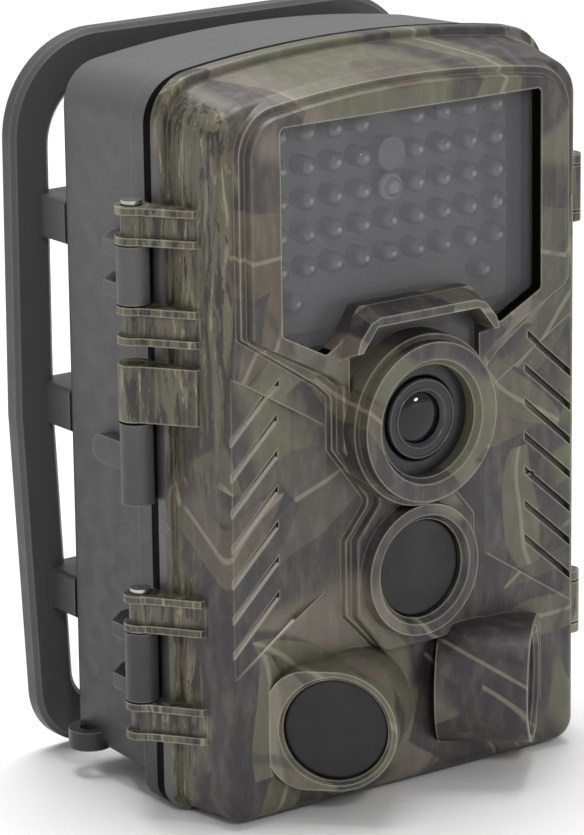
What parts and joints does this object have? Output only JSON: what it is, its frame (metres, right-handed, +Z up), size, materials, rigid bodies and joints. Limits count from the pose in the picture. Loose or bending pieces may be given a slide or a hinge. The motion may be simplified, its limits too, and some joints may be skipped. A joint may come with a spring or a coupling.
{
  "type": "trail camera",
  "caption": "Camouflaged clamshell trail camera with infrared lamp window, hooded lens, three motion sensor windows, hinges, latches and a strap loop at the back.",
  "frame": {"origin": "on the surface that the camera stands on, midway across the case, in the plane of the seam between its two halves", "axes": "+X to the viewer's right when the lens faces the viewer, the lens looks along -Y, +Z up"},
  "size_m": [0.0964, 0.0759, 0.1377],
  "materials": {
    "camo_plastic": "camouflage print on moulded ABS",
    "grey_plastic": "fine moulded texture",
    "inner_plastic": "fine moulded texture",
    "black_plastic": "satin",
    "smoked_pane": "smoked, polished",
    "clear_lens": "coated, polished",
    "clear_resin": "clear epoxy domes",
    "filter_glass": "tinted, polished",
    "pir_film": "smooth infrared film",
    "board": "solder mask",
    "key_rubber": "matte",
    "steel": "plated steel",
    "brass": "turned brass, gold flash",
    "sensor_face": "smooth",
    "cell_wrap": "printed wrap",
    "card_plastic": "smooth"
  },
  "bodies": {
    "rear_half": {"rear_shell": "grey_plastic", "tree_bracket": "grey_plastic", "bracket_screws": "steel", "tripod_insert": "brass", "power_jack": "black_plastic", "battery_tray": "inner_plastic", "battery_cells": "cell_wrap", "contact_plates": "steel", "battery_springs": "steel", "battery_cover": "inner_plastic", "contact_pins": "brass", "case_gasket": "key_rubber", "hinge_pins": "steel"},
    "front_half": {"front_shell": "camo_plastic", "led_window": "smoked_pane", "led_board": "board", "ir_leds": "clear_resin", "light_sensor": "sensor_face", "status_led": "clear_resin", "window_gasket": "key_rubber", "lens_trim": "black_plastic", "lens_barrel": "black_plastic", "front_lens": "clear_lens", "rear_lens": "clear_lens", "aperture_ring": "black_plastic", "filter_housing": "black_plastic", "image_sensor": "sensor_face", "sensor_board": "board", "pir_window_middle": "pir_film", "pir_window_left": "pir_film", "pir_window_right": "pir_film", "pir_sensors": "steel", "pir_boards": "board", "main_board": "board", "board_screws": "steel", "processor_chips": "black_plastic", "speaker": "black_plastic", "microphone": "sensor_face", "lcd_panel": "sensor_face", "inner_cover": "inner_plastic", "cover_screws": "steel", "lcd_window": "clear_lens", "key_switches": "black_plastic", "card_slot": "black_plastic", "usb_socket": "steel", "contact_pads": "brass", "latch_pins": "steel"},
    "key_up_body": {"key_up": "key_rubber"},
    "key_left_body": {"key_left": "key_rubber"},
    "key_ok_body": {"key_ok": "key_rubber"},
    "key_right_body": {"key_right": "key_rubber"},
    "key_down_body": {"key_down": "key_rubber"},
    "key_menu_body": {"key_menu": "key_rubber"},
    "power_switch_body": {"power_switch": "inner_plastic"},
    "ir_filter_body": {"ir_filter": "filter_glass"},
    "memory_card_body": {"memory_card": "card_plastic"},
    "port_plug_body": {"port_plug": "key_rubber"},
    "latch_upper_body": {"latch_upper": "camo_plastic"},
    "latch_lower_body": {"latch_lower": "camo_plastic"}
  },
  "joints": [
    {"name": "case_hinge", "type": "hinge", "parent": "rear_half", "child": "front_half", "pos_m": [-0.0464, 0, 0.069], "axis": [0, 0, -1], "range_deg": [0, 130]},
    {"name": "key_up_press", "type": "slide", "parent": "front_half", "child": "key_up_body", "axis": [0, -1, 0], "range_m": [0, 0.0007], "stiffness_N_per_m": 600},
    {"name": "key_left_press", "type": "slide", "parent": "front_half", "child": "key_left_body", "axis": [0, -1, 0], "range_m": [0, 0.0007], "stiffness_N_per_m": 600},
    {"name": "key_ok_press", "type": "slide", "parent": "front_half", "child": "key_ok_body", "axis": [0, -1, 0], "range_m": [0, 0.0007], "stiffness_N_per_m": 600},
    {"name": "key_right_press", "type": "slide", "parent": "front_half", "child": "key_right_body", "axis": [0, -1, 0], "range_m": [0, 0.0007], "stiffness_N_per_m": 600},
    {"name": "key_down_press", "type": "slide", "parent": "front_half", "child": "key_down_body", "axis": [0, -1, 0], "range_m": [0, 0.0007], "stiffness_N_per_m": 600},
    {"name": "key_menu_press", "type": "slide", "parent": "front_half", "child": "key_menu_body", "axis": [0, -1, 0], "range_m": [0, 0.0007], "stiffness_N_per_m": 600},
    {"name": "power_switch_slide", "type": "slide", "parent": "front_half", "child": "power_switch_body", "axis": [1, 0, 0], "range_m": [-0.003, 0.003]},
    {"name": "ir_filter_slide", "type": "slide", "parent": "front_half", "child": "ir_filter_body", "axis": [1, 0, 0], "range_m": [0, 0.0075]},
    {"name": "memory_card_slide", "type": "slide", "parent": "front_half", "child": "memory_card_body", "axis": [0, 0, -1], "range_m": [0, 0.008]},
    {"name": "port_plug_pull", "type": "slide", "parent": "rear_half", "child": "port_plug_body", "axis": [0, 0, -1], "range_m": [0, 0.0028]},
    {"name": "latch_upper_turn", "type": "hinge", "parent": "front_half", "child": "latch_upper_body", "pos_m": [0.0434, -0.0106, 0.1053], "axis": [0, 0, -1], "range_deg": [0, 75]},
    {"name": "latch_lower_turn", "type": "hinge", "parent": "front_half", "child": "latch_lower_body", "pos_m": [0.0434, -0.0106, 0.02545], "axis": [0, 0, -1], "range_deg": [0, 75]}
  ]
}
